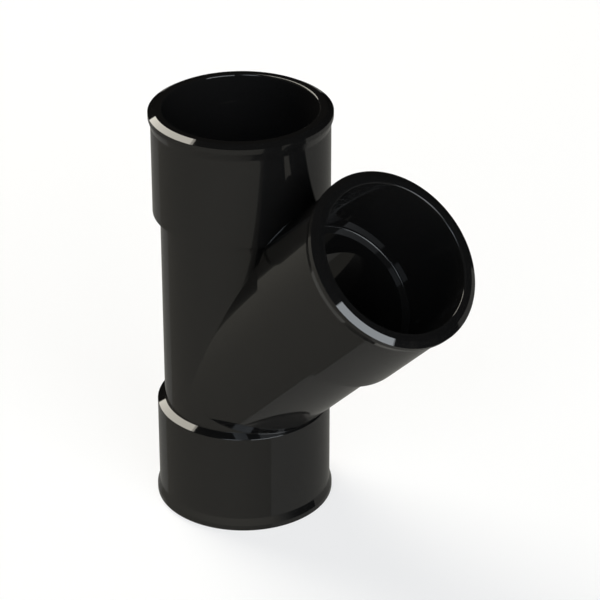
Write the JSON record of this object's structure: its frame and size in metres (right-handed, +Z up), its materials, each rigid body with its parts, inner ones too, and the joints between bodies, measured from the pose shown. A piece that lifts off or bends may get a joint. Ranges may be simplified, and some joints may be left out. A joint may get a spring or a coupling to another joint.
{
  "type": "lateral wye fitting",
  "caption": "Glossy black one-piece 45 degree lateral wye for pipe, with equal sockets and a beaded rim on the run and the branch.",
  "frame": {"origin": "centre of the bottom mouth's face, on the run's axis, at the surface that the fitting stands on", "axes": "+Z up along the run, towards its top mouth. +X is the side the branch leaves to, at 45 degrees in the XZ plane. Y is across, square to the plane of the two axes."},
  "size_m": [0.1142, 0.0572, 0.1373],
  "materials": {
    "black_plastic": "moulded gloss"
  },
  "bodies": {
    "root": {"wye_body": "black_plastic"}
  },
  "joints": []
}
